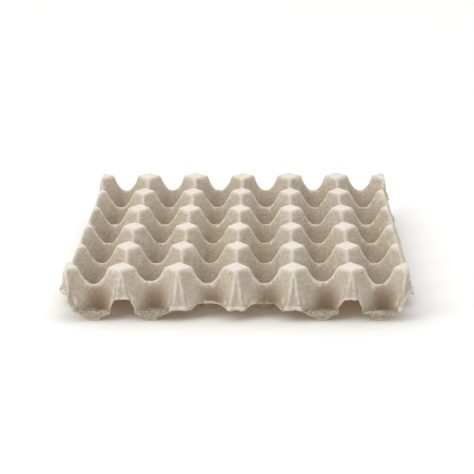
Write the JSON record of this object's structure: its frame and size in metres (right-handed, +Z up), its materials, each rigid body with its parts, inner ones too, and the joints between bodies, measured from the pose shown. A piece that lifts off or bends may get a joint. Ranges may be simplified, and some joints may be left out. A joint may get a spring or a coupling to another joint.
{
  "type": "pulp egg tray",
  "caption": "Square moulded pulp tray with a grid of diamond cups between hollow flat-topped posts, a scalloped edge and a trimmed skirt with finger gaps.",
  "frame": {"origin": "middle of the underside, on the floor that the cups rest on", "axes": "+Z up, X along the long row of cups, Y along the short row"},
  "size_m": [0.3, 0.3, 0.045],
  "materials": {
    "moulded_pulp": "matte"
  },
  "bodies": {
    "root": {"egg_tray": "moulded_pulp"}
  },
  "joints": []
}
